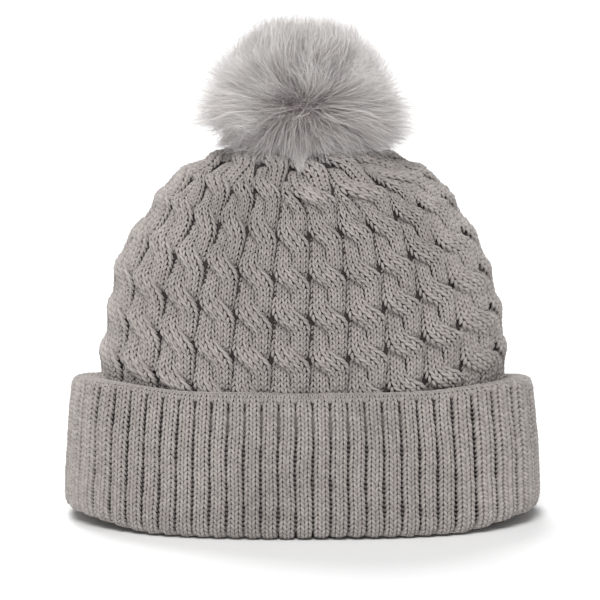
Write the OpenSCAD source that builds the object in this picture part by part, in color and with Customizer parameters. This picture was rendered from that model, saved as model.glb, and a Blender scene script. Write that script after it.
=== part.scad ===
// Pom pom beanie: a cable-knit crown on a ribbed band, a turned-up ribbed cuff,
// and a faux-fur pom that snaps on to the top. Millimetres, +Z up, front towards -Y.
// The hat stands on the fold of its cuff, softly filled, so its plan is a long oval.

/* [Cuff] */
// Half of the widest side-to-side width, at the cuff
cuff_half_width = 117.5; // [114:0.5:121]
// Half of the front-to-back depth at the cuff
cuff_half_depth = 66; // [65:0.5:68]
// Height of the turned-up cuff above the surface it stands on
cuff_height = 70; // [66:1:74]
// How far the top edge of the cuff leans in from its widest line
cuff_lean = 4.3; // [3.5:0.1:4.4]

/* [Crown] */
// Half of the side-to-side width where the crown leaves the band
crown_half_width = 99.5; // [97:0.5:101]
// Half of the front-to-back depth that the crown tends to
crown_half_depth = 58; // [56:0.5:58.5]
// Height of the top of the crown
crown_top = 184; // [178:1:190]
// Thickness of the knitted crown
crown_thick = 4.3; // [3.5:0.1:4.5]

/* [Pom] */
// Radius of the fur ball
fur_r = 48.5; // [44:0.5:50]
// Height of the fur above its widest line
fur_rise = 44; // [40:1:48]
// Radius of the stuffed core that the pile grows from
core_r = 20; // [18:0.5:22]
// Half of the height of the stuffed core
core_half = 15; // [14:0.5:17]

/* [Snap] */
// Radius of the stud's head
stud_r = 2.8; // [2.6:0.1:2.8]
// Radius of the snap's two metal shells
snap_r = 6; // [5.8:0.1:6.5]
// Radius of the felt disc that the pom is sewn to
base_r = 15; // [13:0.5:15.5]

/* [Label] */
// Width of the care label
label_w = 24; // [20:1:30]
// Length that the care label hangs down
label_drop = 30; // [24:1:34]

/* [Hidden] */

$fn = 64;
segments = 48;       // points round one oval ring
dome_rings = 12;     // rings from the band to the top of the dome
gap = 0.3;           // clearance between parts that move past each other
hair = 0.12;         // clearance between soft parts of one body

// Plan shape: a superellipse, squarest at the rim and round under the pom
rim_power = 2.4;
band_top = cuff_height + 2;
band_bottom = 4.3;
band_half_width = crown_half_width + 4;
fit = 0.7;           // clearance between the cuff and the band that it slides on
hole_r = 2.2;        // hole at the top of the crown, for the snap's post

// Snap, stacked up from the top of the crown
post_r = 2;
stud_flange = 1.2;
socket_low = crown_top + stud_flange + gap;
socket_top = crown_top + 5.6;
stud_top = socket_top - 1;
ring_z = crown_top + 2.9;
ring_wire = 0.5;
ring_r = stud_r + gap + ring_wire + 0.05;
bore_r = stud_r + gap;
base_thick = 2;
cap_low = socket_top + base_thick;
cap_top = cap_low + 1.8;

// Pom, from the snap's cap up
core_z = cap_top + 16.6;
cover_thick = 1.2;
neck_r = 8;
fur_z = crown_top + 15;
fur_low = crown_top + 1.8;
fur_drop = 17;
core_steps = 20;

label_top = 60;
label_thick = 0.9;
seam_w = 3;
seam_proud = 2;

yarn = [0.55, 0.53, 0.51];
fur_colour = [0.68, 0.66, 0.64];

// A number raised to a power with its sign kept
function signed_pow(v, p) = sign(v) * pow(abs(v), p);

// One oval ring at height z: half width a, half depth b, superellipse power n
function oval(z, a, b, n) = [
    for (j = [0:segments - 1])
        let (t = 360 * j / segments)
        [a * signed_pow(cos(t), 2 / n), b * signed_pow(sin(t), 2 / n), z]
];

// A closed skin through rings that run up one face of the fabric and down the other
module ring_skin(rings) {
    count = len(rings);
    points = [for (r = rings) each r];
    faces = [
        for (i = [0:count - 1], j = [0:segments - 1])
            let (
                k = (i + 1) % count,
                m = (j + 1) % segments,
                p = i * segments + j,
                q = i * segments + m,
                s = k * segments + m,
                t = k * segments + j
            )
            each [[p, t, s], [p, s, q]]
    ];
    polyhedron(points = points, faces = faces, convexity = 6);
}

// The dome, at a depth d into the fabric: f runs from 0 at the band to 1 at the top
function dome_angle(f) = 87.6 * (1 - pow(1 - f, 1.6));
function dome_width(f, d) = (crown_half_width - d) * pow(cos(dome_angle(f)), 2 / 3);
function dome_depth(f, d) =
    let (a = dome_width(f, d), b = crown_half_depth - d)
    a * pow(1 + pow(a / b, 4), -0.25);
function dome_height(f, d) = band_top + (crown_top - band_top - d) * sin(dome_angle(f));
function dome_power(f) = 2 + (rim_power - 2) * cos(dome_angle(f));
function dome_ring(f, d) = oval(dome_height(f, d), dome_width(f, d), dome_depth(f, d), dome_power(f));
function flat_ring(r, d) = oval(crown_top - d, r, r, 2);

module crown() {
    color(yarn)
        ring_skin(concat(
            [for (i = [0:dome_rings]) dome_ring(i / dome_rings, 0)],
            [flat_ring(snap_r + 1, 0), flat_ring(hole_r, 0)],
            [flat_ring(hole_r, crown_thick), flat_ring(snap_r, crown_thick)],
            [for (i = [dome_rings:-1:0]) dome_ring(i / dome_rings, crown_thick)]
        ));
}

// The band between its bottom edge (f = 0) and the crown (f = 1), at a depth d
function band_width(f, d) = band_half_width - d
    + (dome_width(0, d) - band_half_width + d) * pow(f, 1.4);
function band_depth(f, d) = dome_depth(0, d);
function band_ring(f, d) =
    oval(band_bottom + (band_top - band_bottom) * f, band_width(f, d), band_depth(f, d), rim_power);

module inner_band() {
    steps = 4;
    color(yarn * 0.95)
        ring_skin(concat(
            [for (i = [0:steps]) band_ring(i / steps, 0)],
            [for (i = [steps:-1:0]) band_ring(i / steps, crown_thick)]
        ));
}

// The cuff in section: [height, half width, half depth]. It is a thick soft ring:
// its outer face flares down to the fold, and its inner face clears the band.
function cuff_ring(z, inset) = [z, cuff_half_width - inset, cuff_half_depth - inset];
function cuff_outer(f) = cuff_ring(cuff_height * f, cuff_lean * pow(f, 2));
cuff_in_width = band_half_width + fit;
cuff_in_depth = dome_depth(0, 0) + fit;
function cuff_inner(z, inset) = [z, cuff_in_width - inset, cuff_in_depth - inset];
lip_top = band_bottom - gap;
cuff_profile = concat(
    [cuff_ring(0, 3.2), cuff_ring(0.9, 1.3), cuff_ring(3, 0.3)],
    [for (f = [0.14, 0.4, 0.66, 0.9]) cuff_outer(f)],
    [cuff_ring(cuff_height - 1.2, cuff_lean), cuff_ring(cuff_height, cuff_lean + 1.6)],
    [cuff_inner(cuff_height, -1.6), cuff_inner(cuff_height - 1.6, 0)],
    [for (f = [0.7, 0.4]) cuff_inner(cuff_height * f, 0)],
    [cuff_inner(lip_top, 0), cuff_inner(lip_top, 2.6), cuff_inner(2.4, 3.6), cuff_inner(0.8, 3.3)],
    [cuff_inner(0, 1.8)]
);

module cuff() {
    color(yarn * 1.04)
        ring_skin([for (p = cuff_profile) oval(p[0], p[1], p[2], rim_power)]);
}

// The back seam: a narrow ridge up the inside of the band and the back of the dome
function back_line(d) = concat(
    [for (i = [0:4]) [band_depth(i / 4, crown_thick + d), band_bottom + (band_top - band_bottom) * i / 4]],
    [for (i = [1:dome_rings - 3])
        [dome_depth(i / dome_rings, crown_thick + d), dome_height(i / dome_rings, crown_thick + d)]]
);

module back_seam() {
    outer_line = back_line(gap);
    inner_line = back_line(gap + seam_proud);
    last = len(inner_line) - 1;
    color(yarn * 0.85)
        rotate([90, 0, 90])
            translate([0, 0, -seam_w / 2])
                linear_extrude(seam_w)
                    polygon(concat(outer_line, [for (i = [last:-1:0]) inner_line[i]]));
}

// A ring of thread or wire lying flat round the Z axis
module ring(r, wire_r, z) {
    translate([0, 0, z])
        rotate_extrude()
            translate([r, 0])
                circle(wire_r, $fn = 24);
}

module crown_gather_thread() {
    thread_r = 0.8;
    color("dimgray")
        ring(snap_r + 3, thread_r, crown_top - crown_thick - thread_r - hair);
}

// Care label: a blank folded ribbon, sewn along its top edge just inside the back
label_front = band_depth(0.8, crown_thick) - seam_proud - 2 * gap - label_thick;

module care_label() {
    fold_r = 2;
    color("white")
        translate([0, label_front + label_thick, label_top - label_drop])
            rotate([90, 0, 0])
                linear_extrude(label_thick)
                    union() {
                        translate([-label_w / 2, fold_r])
                            square([label_w, label_drop - fold_r]);
                        translate([-label_w / 2 + fold_r, 0])
                            square([label_w - 2 * fold_r, fold_r]);
                        for (side = [-1, 1])
                            translate([side * (label_w / 2 - fold_r), fold_r])
                                circle(fold_r, $fn = 32);
                    }
}

module label_stitches() {
    thread_r = 0.4;
    reach = band_depth(0.85, crown_thick) - label_front - 4 * hair;
    color("dimgray")
        for (x = [-10, -5, 5, 10])
            translate([x, label_front, label_top + thread_r + 2 * gap])
                rotate([-90, 0, 0])
                    cylinder(h = reach, r = thread_r, $fn = 24);
}

module snap_post() {
    color("silver")
        union() {
            translate([0, 0, crown_top - crown_thick - 1])
                cylinder(h = 1, r = snap_r - 0.5);
            translate([0, 0, crown_top - crown_thick - 1])
                cylinder(h = crown_thick + 1 + 2.2, r = post_r);
        }
}

module snap_stud() {
    neck_r_stud = stud_r - 0.5;
    color("silver")
        rotate_extrude()
            polygon([
                [post_r, crown_top], [snap_r, crown_top],
                [snap_r, crown_top + stud_flange - 0.4], [snap_r - 0.4, crown_top + stud_flange],
                [neck_r_stud, crown_top + stud_flange], [neck_r_stud, stud_top - 1.3],
                [stud_r, stud_top - 1], [stud_r, stud_top - 0.6], [stud_r - 0.6, stud_top],
                [0, stud_top], [0, crown_top + 2.2], [post_r, crown_top + 2.2]
            ]);
}

module snap_spring() {
    color("gold")
        ring(ring_r, ring_wire, ring_z);
}

module snap_socket() {
    groove_r = ring_r + ring_wire + gap;
    groove_half = ring_wire + 0.2;
    color("silver")
        rotate_extrude()
            polygon([
                [bore_r, socket_low], [snap_r - 0.4, socket_low], [snap_r, socket_low + 0.4],
                [snap_r, socket_top - 0.4], [snap_r - 0.4, socket_top], [0, socket_top],
                [0, stud_top + gap], [bore_r, stud_top + gap],
                [bore_r, ring_z + groove_half], [groove_r, ring_z + groove_half],
                [groove_r, ring_z - groove_half], [bore_r, ring_z - groove_half]
            ]);
}

module pom_base() {
    color("gray")
        translate([0, 0, socket_top])
            difference() {
                cylinder(h = base_thick, r = base_r);
                translate([0, 0, -1])
                    cylinder(h = base_thick + 2, r = hole_r);
            }
}

module snap_cap() {
    cap_r = snap_r + 1;
    color("silver")
        rotate_extrude()
            polygon([
                [0, socket_top], [hole_r - 0.05, socket_top], [hole_r - 0.05, cap_low],
                [cap_r, cap_low], [cap_r, cap_low + 0.5], [cap_r - 0.8, cap_low + 1.2],
                [cap_r - 3, cap_top], [0, cap_top]
            ]);
}

// The core's outline, at a distance d inside its surface, from its neck to its top
function core_point(angle, d) = [(core_r - d) * sin(angle), core_z - (core_half - d) * cos(angle)];
function neck_angle(r, d) = asin(r / (core_r - d));
function core_line(r, d) = [
    for (i = [0:core_steps])
        core_point(neck_angle(r, d) + (180 - neck_angle(r, d)) * i / core_steps, d)
];
function backwards(line) = [for (i = [len(line) - 1:-1:0]) line[i]];

module pom_cover() {
    color("tan")
        rotate_extrude()
            polygon(concat(core_line(neck_r, 0), backwards(core_line(neck_r, cover_thick))));
}

module pom_filling() {
    line = core_line(neck_r, cover_thick + hair);
    color("white")
        rotate_extrude()
            polygon(concat([[0, line[0][1]]], line));
}

module pom_gather_thread() {
    thread_r = 0.6;
    color("dimgray")
        ring(neck_r + 0.8, thread_r, core_point(neck_angle(neck_r, 0), 0)[1] - thread_r - hair);
}

module pom_tie_thread() {
    low = cap_top + gap;
    high = core_line(neck_r, cover_thick + hair)[0][1] - hair;
    color("dimgray")
        translate([0, 0, low])
            cylinder(h = high - low, r = 1);
}

// The fur: a squat ball of pile, hollow round the core and recessed over the snap
module pom_fur() {
    mouth_r = neck_r + 2.5;
    recess_r = base_r + 2.3;
    low_angle = asin((fur_z - fur_low) / fur_drop);
    skirt = [for (i = [0:4])
        let (t = -low_angle * (1 - i / 4))
        [fur_r * cos(t), fur_z + fur_drop * sin(t)]];
    dome = [for (i = [1:16])
        let (t = 90 * i / 16)
        [fur_r * cos(t), fur_z + fur_rise * sin(t)]];
    cavity = core_line(mouth_r, -2 * hair);
    color(fur_colour)
        rotate_extrude()
            polygon(concat(
                [[mouth_r, cavity[0][1] - 1.8], [recess_r, cap_top + 1.2], [recess_r, socket_top + 1.4]],
                [[recess_r + 4.5, crown_top + 4.4]],
                [[skirt[0][0] - 4, fur_low + 0.1]],
                skirt,
                dome,
                backwards(cavity)
            ));
}

crown();
inner_band();
back_seam();
crown_gather_thread();
label_stitches();
snap_post();
snap_stud();
cuff();
care_label();
snap_spring();
snap_socket();
pom_base();
snap_cap();
pom_tie_thread();
pom_cover();
pom_filling();
pom_gather_thread();
pom_fur();
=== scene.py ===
"""Pom pom beanie: crown, band and cuff knitted from single stitches, with a faux-fur pom."""
import math

import bpy
import numpy as np
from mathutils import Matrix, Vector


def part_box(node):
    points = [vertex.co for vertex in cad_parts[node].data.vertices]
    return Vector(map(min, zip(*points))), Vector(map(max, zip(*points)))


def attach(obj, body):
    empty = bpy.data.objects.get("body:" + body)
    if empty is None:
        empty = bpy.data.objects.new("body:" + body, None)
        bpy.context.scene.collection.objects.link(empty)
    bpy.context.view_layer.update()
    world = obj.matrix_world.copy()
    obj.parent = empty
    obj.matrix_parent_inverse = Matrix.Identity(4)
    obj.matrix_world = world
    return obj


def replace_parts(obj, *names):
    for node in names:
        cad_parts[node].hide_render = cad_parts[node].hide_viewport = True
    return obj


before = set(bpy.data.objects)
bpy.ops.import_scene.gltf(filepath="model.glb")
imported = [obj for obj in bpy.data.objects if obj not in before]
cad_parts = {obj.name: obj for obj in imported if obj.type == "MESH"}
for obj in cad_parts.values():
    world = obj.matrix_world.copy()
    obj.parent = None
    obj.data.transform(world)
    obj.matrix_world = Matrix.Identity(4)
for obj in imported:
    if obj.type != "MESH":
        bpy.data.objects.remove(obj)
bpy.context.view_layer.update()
SCENE = bpy.context.scene
MM = 0.001
TAU = 2 * math.pi


# ---- sizes, in millimetres
def node_box(node):
    """Lowest and highest corner of a CAD node."""
    low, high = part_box(node)
    return np.array(low) / MM, np.array(high) / MM


RIM_POWER = 2.4  # how square the hat's plan is at its rim
(_, _, RIM_Z), (CROWN_A, CROWN_B, CROWN_TOP) = node_box("crown")
DOME_DEPTH = CROWN_A / ((CROWN_A / CROWN_B) ** 4 - 1) ** 0.25
(_, _, BAND_LOW), (BAND_A, BAND_B, BAND_TOP) = node_box("inner_band")
CUFF_A, CUFF_B, CUFF_TOP = node_box("cuff")[1]
CUFF_LEAN = 4.3  # how far the cuff's top leans in
POM_R, _, POM_TOP = node_box("pom_fur")[1]
POM_Z = CROWN_TOP + 15  # height of the pom's widest line
CORE_LOW, CORE_HIGH = node_box("pom_cover")

COLUMNS = 24  # cable columns round the crown
SIDE_COLUMNS = 2  # of those, the ones at each side, between front and back
COLUMN_PITCH = 0.1865  # one column on the front, as a share of the half width
COLUMN_SHIFT = 0.035  # how far the front's middle column lies to the right, likewise
FRONT_RIBS = 27
SIDE_RIBS = 4
RIBS = 2 * (FRONT_RIBS + SIDE_RIBS)
RIB_ENDS = (-0.985, 0.976)  # where the front's first and last rib end, in half widths


# ---- small maths
def signed_pow(value, power):
    return np.sign(value) * np.abs(value) ** power


def unit(v):
    """Vectors of length one."""
    return v / np.maximum(np.linalg.norm(v, axis=-1, keepdims=True), 1e-12)


def smooth(x):
    """A soft step from 0 to 1 while x goes from 0 to 1."""
    x = np.clip(x, 0, 1)
    return x * x * (3 - 2 * x)


def waves(u, v, seed, lengths):
    """A gentle uneven field from -1 to 1 over (u, v), as hand-filled fabric has."""
    rng = np.random.default_rng(seed)
    total = np.zeros(np.broadcast(u, v).shape)
    for length in lengths:
        turn, phase = rng.uniform(0, TAU, 2)
        total = total + np.sin((u * np.cos(turn) + v * np.sin(turn)) * TAU / length + phase)
    return total / len(lengths)


# ---- the hat's surfaces
def oval(t, a, b, n):
    """Points of an oval ring at angle t, and the outward direction in plan."""
    q = signed_pow(np.cos(t), 2 / RIM_POWER)
    r = np.sign(np.sin(t)) * np.maximum(1 - np.abs(q) ** n, 0) ** (1 / n)
    nx = signed_pow(q, n - 1) * b / a
    ny = signed_pow(r, n - 1)
    length = np.maximum(np.hypot(nx, ny), 1e-9)
    return a * q, b * r, nx / length, ny / length


def front_angle(q):
    """The oval's angle where x is q half widths, on the front."""
    return -np.arccos(np.clip(signed_pow(q, RIM_POWER / 2), -1, 1))


def even_angles(start, end, count, a, b):
    """Angles from start to end, evenly spaced along the oval."""
    t = np.linspace(start, end, 600)
    x, y, _, _ = oval(t, a, b, RIM_POWER)
    length = np.concatenate([[0], np.cumsum(np.hypot(np.diff(x), np.diff(y)))])
    return np.interp(np.linspace(0, length[-1], count), length, t)


def turn_table(front_q, front_count, side_count, a, b):
    """Column numbers and the oval's angles for them: front, side, back and side, with a spare turn."""
    front = front_angle(front_q)
    side = even_angles(front[-1], front[0] + math.pi, 60 * side_count + 1, a, b)
    angles = np.concatenate([front, side[1:]])
    half_count = front_count + side_count
    side_numbers = np.linspace(front_count, half_count, len(side))
    numbers = np.concatenate([np.linspace(0, front_count, len(front)), side_numbers[1:]])
    return [np.concatenate([half[:-1] + k * turn for k in range(-1, 4)])
            for half, turn in ((numbers, half_count), (angles, math.pi))]


FRONT_COLUMNS = COLUMNS // 2 - SIDE_COLUMNS
COLUMN_Q = COLUMN_SHIFT + COLUMN_PITCH * np.linspace(-FRONT_COLUMNS / 2, FRONT_COLUMNS / 2, 401)
COLUMN_TABLE = turn_table(COLUMN_Q, FRONT_COLUMNS, SIDE_COLUMNS, CROWN_A, CROWN_B)


def rib_pitch(q):
    """Share of the half width that one rib takes at q: wider at the right, and closing up at both ends."""
    pitch = 0.0695 + 0.003 * np.tanh(2 * q)
    pitch = pitch + 0.015 * smooth((q - 0.54) / 0.12) + 0.010 * smooth((-0.78 - q) / 0.15)
    return pitch * (1 - 0.33 * smooth((np.abs(q) - 0.84) / 0.12))


def rib_positions():
    """Where the front's ribs lie, by stepping across the front a fiftieth of a pitch at a time."""
    first, last = RIB_ENDS
    q = [first]
    for _ in range(FRONT_RIBS * 50):
        q.append(q[-1] + rib_pitch(q[-1]) / 50)
    q = np.array(q)
    return q[0] + (q - q[0]) * (last - q[0]) / (q[-1] - q[0])


RIB_Q = rib_positions()
RIB_TABLE = turn_table(RIB_Q, FRONT_RIBS, SIDE_RIBS, CUFF_A, CUFF_B)


def dome(m):
    """The crown's ring at m: 0 at its top, 1 at its rim, and past 1 straight down."""
    angle = (1 - np.minimum(m, 1)) * math.pi / 2
    a = CROWN_A * np.maximum(np.cos(angle), 1e-6) ** (2 / 3)
    b = a * (1 + (a / DOME_DEPTH) ** 4) ** -0.25
    z = RIM_Z + (CROWN_TOP - RIM_Z) * np.sin(angle) - np.maximum(m - 1, 0) * 100
    return a, b, z, 2 + (RIM_POWER - 2) * np.cos(angle)


class Fabric:
    """A knitted surface round the hat. u counts its columns, and v is the distance down it at each u."""
    step_v = 0.5
    per_column = 6

    def __init__(self, ring, turns, columns, zero_m, above, length, settle=None, gather=None):
        """ring gives half width, half depth, height and power for m. v is 0 at zero_m.

        settle moves points, and gather moves columns.
        """
        self.ring, self.turns, self.columns = ring, turns, columns
        self.settle, self.gather = settle, gather
        m = np.linspace(0, 1.12, 1400)
        a, b, z, n = ring(m)
        self.first_v = -above
        self.rows = []
        for u in np.arange(-self.per_column, (columns + 1) * self.per_column + 1) / self.per_column:
            x, y, _, _ = oval(np.interp(u, *turns), a, b, n)
            step = np.sqrt(np.diff(x) ** 2 + np.diff(y) ** 2 + np.diff(z) ** 2)
            run = np.concatenate([[0], np.cumsum(step)])
            run -= np.interp(zero_m, m, run)
            self.rows.append(np.interp(np.arange(self.first_v, length, self.step_v), run, m))
        self.rows = np.array(self.rows)

    def place(self, u, v):
        """m at (u, v), read between the table's entries."""
        table = self.rows
        i = np.clip((u + 1) * self.per_column, 0, table.shape[0] - 1.001)
        j = np.clip((v - self.first_v) / self.step_v, 0, table.shape[1] - 1.001)
        i0, j0 = i.astype(int), j.astype(int)
        fi, fj = i - i0, j - j0
        low = table[i0, j0] * (1 - fj) + table[i0, j0 + 1] * fj
        high = table[i0 + 1, j0] * (1 - fj) + table[i0 + 1, j0 + 1] * fj
        return low * (1 - fi) + high * fi

    def spot(self, u, v):
        """A point of the surface, and its outward direction in plan."""
        if self.gather:
            u = self.gather(u, v)
        a, b, z, n = self.ring(self.place(u, v))
        x, y, nx, ny = oval(np.interp(u, *self.turns), a, b, n)
        if self.settle:
            x, y, z = self.settle(x, y, z)
        return np.stack([x, y, z], -1), np.stack([nx, ny], -1)

    def lift(self, u, v, h):
        """Points at height h over the surface, and the surface's normals there."""
        step = 0.5
        point, outward = self.spot(u, v)
        down = self.spot(u, v + step)[0] - self.spot(u, v - step)[0]
        across = np.stack([-outward[..., 1], outward[..., 0], np.zeros_like(point[..., 0])], -1)
        normal = unit(np.cross(down, across))
        return point + normal * np.asarray(h)[..., None], normal

    def column_width(self, u, v):
        """The width of one column at (u, v)."""
        step = 0.05
        return np.linalg.norm(self.spot(u + step, v)[0] - self.spot(u - step, v)[0], axis=-1) / (2 * step)


def crown_gather(u, v):
    """Towards the top one column of each pair is decreased away, and its neighbour takes its place."""
    pair = np.floor(np.asarray(u, float) / 2) * 2
    within = u - pair
    late = 7 * np.sin(pair * 2.3)
    share = 0.985 * smooth((74 + late - v) / 30)
    edge = 1 - share
    return pair + np.where(within < 1, within * edge, edge + (within - 1) * (2 - edge))


def rounded_ring(corners):
    """A ring function whose profile is a smooth line through (half width, half depth, height)."""
    p = np.array(corners, float)
    padded = np.concatenate([[2 * p[0] - p[1]], p, [2 * p[-1] - p[-2]]])
    line = []
    for i in range(1, len(padded) - 2):
        before, here, there, after = padded[i - 1:i + 3]
        t = np.linspace(0, 1, 24, endpoint=False)[:, None]
        line.append(0.5 * (2 * here + (there - before) * t
                           + (2 * before - 5 * here + 4 * there - after) * t ** 2
                           + (3 * here - before - 3 * there + after) * t ** 3))
    line = np.concatenate(line + [p[-1:]])
    at = np.linspace(0, 1, len(line))

    def ring(m):
        a, b, z = (np.interp(m, at, line[:, k]) for k in range(3))
        return a, b, z, RIM_POWER
    return ring


def cuff_line(height, inset):
    return (CUFF_A - inset, CUFF_B - inset, height)


# From inside the top edge, over its soft roll, down the face and round the fold to the lip
CUFF_CORNERS = [
    (CROWN_A + 2.4, BAND_B + 0.8, CUFF_TOP - 26), (CROWN_A + 1.6, BAND_B + 0.8, CUFF_TOP - 14),
    (CROWN_A - 0.2, BAND_B + 0.4, CUFF_TOP - 5),
    (CROWN_A - 0.2, BAND_B + 0.9, CUFF_TOP - 1.8), (CROWN_A + 3.6, BAND_B + 2.0, CUFF_TOP + 0.4),
    (CUFF_A - CUFF_LEAN - 4.4, BAND_B + 3.3, CUFF_TOP + 0.9),
    cuff_line(CUFF_TOP - 0.6, CUFF_LEAN + 1.0), cuff_line(CUFF_TOP - 3.6, CUFF_LEAN - 0.2),
    *[cuff_line(CUFF_TOP * f, CUFF_LEAN * f ** 2) for f in (0.8, 0.6, 0.4, 0.22)],
    cuff_line(6, 0.1), cuff_line(2.2, 1.0), cuff_line(0.7, 3.2),
    (BAND_A + 2.6, BAND_B + 1.8, 0.7), (BAND_A - 0.6, BAND_B - 0.6, 1.2), (BAND_A - 1.8, BAND_B - 1.6, 3.2),
]
CREST = 5  # the corner at the top of the roll


def cuff_settle(x, y, z):
    """How the cuff hangs: its top lies lower at the back and both ends, and its fold lifts at both ends."""
    upper = smooth((z - 25) / 45)
    lower = 5.2 * smooth((y + 6) / 44) + 1.4 * smooth((x - 45) / 60) + 1.2 * smooth((-x - 80) / 30)
    front_ends = 2.6 * smooth((np.abs(x) - 55) / 40) * smooth((-y - 4) / 20)
    fold = (1 - smooth(z / 34)) * 5.4 * smooth((np.abs(x) / CUFF_A - 0.6) / 0.34)
    return x, y, z + fold + upper * (front_ends - lower)


def crown_settle(x, y, z):
    """How the crown slumps a little at its shoulders and its left side, and lies wider at its top."""
    shoulder = smooth((z - 128) / 26) * (0.022 + 0.022 * smooth((20 - x) / 70))
    left_side = 0.022 * smooth((-x - 50) / 45) * smooth((z - 78) / 14) * smooth((128 - z) / 24)
    narrower = shoulder + left_side - 0.042 * smooth((z - 152) / 14)
    return x * (1 - narrower), y * (1 - narrower), z - 0.8 * smooth((z - 150) / 25)


def band_ring(m):
    """The band's ring at m: 0 at the crown, 1 at its lower edge."""
    f = 1 - m
    height = BAND_LOW + (BAND_TOP - BAND_LOW) * f
    return BAND_A + (CROWN_A - BAND_A) * np.maximum(f, 0) ** 1.4, BAND_B + 0 * m, height, RIM_POWER


CROWN = Fabric(dome, COLUMN_TABLE, COLUMNS, 0, 0, 190, crown_settle, crown_gather)
CUFF_CREST = CREST / (len(CUFF_CORNERS) - 1)
CUFF = Fabric(rounded_ring(CUFF_CORNERS), RIB_TABLE, RIBS, CUFF_CREST, 30, 96, cuff_settle)
BAND = Fabric(band_ring, RIB_TABLE, RIBS, 0, 0, 76)


# ---- meshes
def spread(*axes):
    """Every combination of the axes' values: one flat array for each axis."""
    return [grid.ravel() for grid in np.meshgrid(*axes, indexing="ij")]


def grid_faces(items, rings, sides, closed):
    """Quads of many tubes or strips, each of rings with sides points, and the UVs of their corners."""
    across = sides if closed else sides - 1
    item, ring, side = spread(np.arange(items), np.arange(rings - 1), np.arange(across))
    base = (item * rings + ring) * sides
    after = (side + 1) % sides
    faces = np.stack([base + side, base + sides + side, base + sides + after, base + after], -1)
    corner_u = np.stack([side, side, side + 1, side + 1], -1) / across
    corner_v = np.stack([ring, ring + 1, ring + 1, ring], -1) / (rings - 1)
    uv = np.stack([corner_u, corner_v], -1)
    return faces, uv.reshape(items, -1, 4, 2)


def atlas(uv):
    """UVs with each item in its own cell of a square sheet."""
    if len(uv) == 1:
        return uv
    cells = np.arange(len(uv))
    side = math.ceil(math.sqrt(len(uv)))
    corner = np.stack([cells % side, cells // side], -1)[:, None, None, :]
    return (corner + 0.06 + 0.88 * uv) / side


def in_scene(name, data):
    """A new object in the scene."""
    made = bpy.data.objects.new(name, data)
    SCENE.collection.objects.link(made)
    return made


def build(name, points, faces, place, layers, values):
    """A piece from points in millimetres and quads, with UV layers and point values.

    place is its body, its slot, which is not used, and its material.
    """
    body, slot, material = place
    mesh = bpy.data.meshes.new(name)
    mesh.vertices.add(points.size // 3)
    mesh.vertices.foreach_set("co", (points * MM).astype(np.float32).ravel())
    mesh.loops.add(faces.size)
    mesh.loops.foreach_set("vertex_index", faces.astype(np.int32).ravel())
    mesh.polygons.add(len(faces))
    mesh.polygons.foreach_set("loop_start", np.arange(0, faces.size, 4, dtype=np.int32))
    mesh.polygons.foreach_set("use_smooth", np.full(len(faces), True))
    for key, uv in layers.items():
        mesh.uv_layers.new(name=key).data.foreach_set("uv", uv.astype(np.float32).ravel())
    for key, value in values.items():
        made = mesh.attributes.new(key, "FLOAT", "POINT")
        made.data.foreach_set("value", value.astype(np.float32).ravel())
    mesh.update(calc_edges=True)
    mesh.validate()
    mesh.materials.append(material)
    piece = in_scene(name, mesh)
    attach(piece, body)
    return piece


def grid_piece(name, points, place, closed=True, twist=None, tone=None):
    """A piece of tubes or strips through points shaped (items, rings, sides, 3).

    With twist, it has what yarn needs: UVs that repeat twist times along it, and a tone.
    """
    faces, uv = grid_faces(*points.shape[:3], closed)
    layers, values = {}, {}
    if twist:
        layers["yarn"] = uv * [1, twist]
        values["tone"] = np.broadcast_to(tone, points.shape[:3])
    layers["OFBake"] = atlas(uv)
    return build(name, points, faces, place, layers, values)


def tubes(centre, up_hint, radius, sides, flat=1.0):
    """Points of round tubes along many centre lines: (items, rings, 3), with a radius for each ring."""
    along = unit(np.gradient(centre, axis=1))
    side = unit(np.cross(along, up_hint))
    up = np.cross(side, along)
    angle = np.linspace(0, TAU, sides, endpoint=False)[:, None]
    ring = side[:, :, None] * np.cos(angle) + flat * up[:, :, None] * np.sin(angle)
    return centre[:, :, None] + radius[:, :, None, None] * ring


class Yarn:
    """Gathers legs of yarn over a surface, and turns them into a few pieces."""

    def __init__(self, fabric, seed, sides=6):
        self.fabric = fabric
        self.rng = np.random.default_rng(seed)
        self.sides = sides
        self.parts = []

    def add(self, u, v, h, radius, painted_shade=0.0):
        """Legs through (u, v, h): one row of each array for each leg."""
        u, v, h, radius = (np.array(np.broadcast_to(x, u.shape), float) for x in (u, v, h, radius))
        count = len(u)
        rng = self.rng
        v += rng.normal(0, 0.07, (count, 1)) + 0.25 * waves(u * 6, v, 5, (31, 47, 68))
        h += rng.normal(0, 0.07, (count, 1)) + 0.35 * waves(u * 9, v, 8, (55, 83, 37))
        radius *= rng.normal(1, 0.04, (count, 1))
        centre, normal = self.fabric.lift(u, v, h)
        points = tubes(centre, normal, radius, self.sides, 0.92)
        # A leg's tone is random; a lowered tone is painted shade, darkening legs that lie deep in recesses.
        tone = rng.uniform(0, 1, count) + painted_shade
        self.parts.append((u[:, 0], points, tone[:, None, None]))

    def pieces(self, name, count, place):
        """The legs as mesh pieces, each a slice of the way round. Gives back the first."""
        turn, points, tone = (np.concatenate(part) for part in zip(*self.parts))
        slices = np.array_split(np.argsort(turn, kind="stable"), count)
        made = [grid_piece(f"{name}_{i + 1}", points[chosen], place, twist=1, tone=tone[chosen])
                for i, chosen in enumerate(slices)]
        return made[0]


# The right leg of a stitch, from its low outer end to the point of the stitch: shares of a wale
# across, of a row up, of the yarn's radius outwards, and of the yarn's radius thick
LEG_ACROSS = np.array([0.43, 0.385, 0.29, 0.18, 0.09])
LEG_UP = np.array([-0.80, -0.46, -0.08, 0.30, 0.62])
LEG_OUT = np.array([-1.15, -0.15, 0.32, 0.25, -0.65])
LEG_THICK = np.array([0.55, 0.95, 1.05, 0.97, 0.5])


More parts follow.
